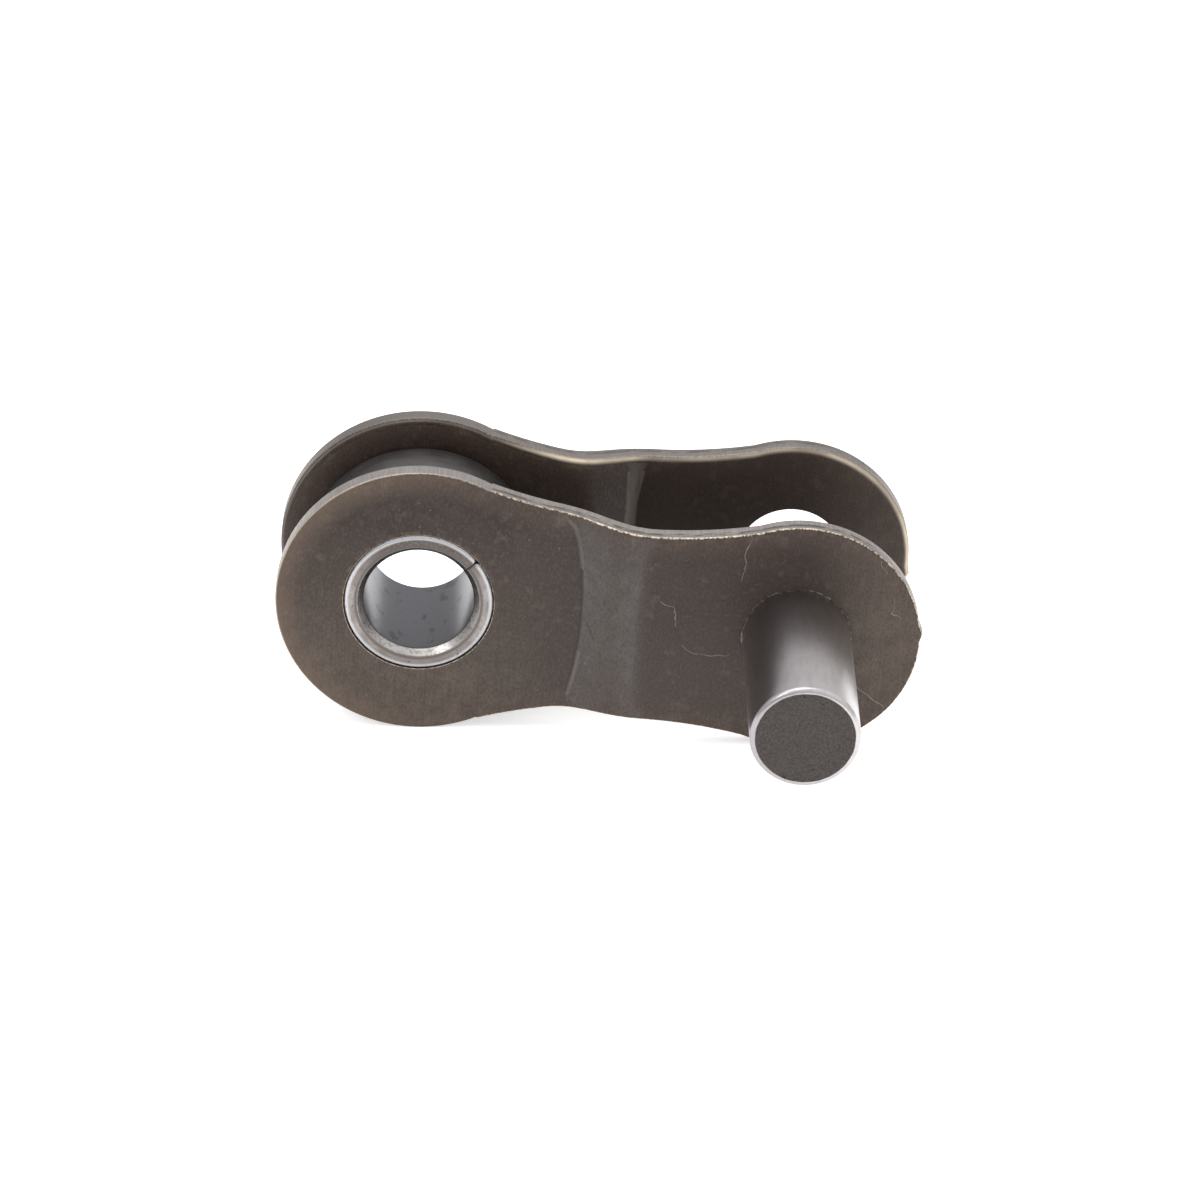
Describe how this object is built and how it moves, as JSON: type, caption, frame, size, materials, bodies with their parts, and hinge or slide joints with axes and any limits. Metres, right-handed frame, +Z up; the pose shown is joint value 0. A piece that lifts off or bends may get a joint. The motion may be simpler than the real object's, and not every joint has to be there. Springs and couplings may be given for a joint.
{
  "type": "offset chain link",
  "caption": "Offset link for a half-inch roller chain: cranked side plates joined by a curled bushing with a free roller, and a pin standing in one plate to be driven through both.",
  "frame": {"origin": "centre of the bushing's bore, on the link's middle plane", "axes": "+X along the pitch from the bushing to the pin, +Y along the bore in the direction the pin is driven, +Z up as the link stands on the edges of its plates"},
  "size_m": [0.0217, 0.0136, 0.0096],
  "materials": {
    "plate_steel": "tumbled satin, brown-grey temper colour, bright sheared edges",
    "bushing_steel": "smooth, bright rolled rim",
    "roller_steel": "satin grey",
    "pin_steel": "ground satin body, polished rounded rim"
  },
  "bodies": {
    "link": {"front_plate": "plate_steel", "rear_plate": "plate_steel", "bushing": "bushing_steel"},
    "roller": {"roller": "roller_steel"},
    "pin": {"pin": "pin_steel"}
  },
  "joints": [
    {"name": "roller_spin", "type": "hinge", "parent": "link", "child": "roller", "pos_m": [0, 0, 0], "axis": [0, 1, 0], "continuous": true},
    {"name": "pin_press", "type": "slide", "parent": "link", "child": "pin", "axis": [0, 1, 0], "range_m": [0, 0.0064]}
  ]
}
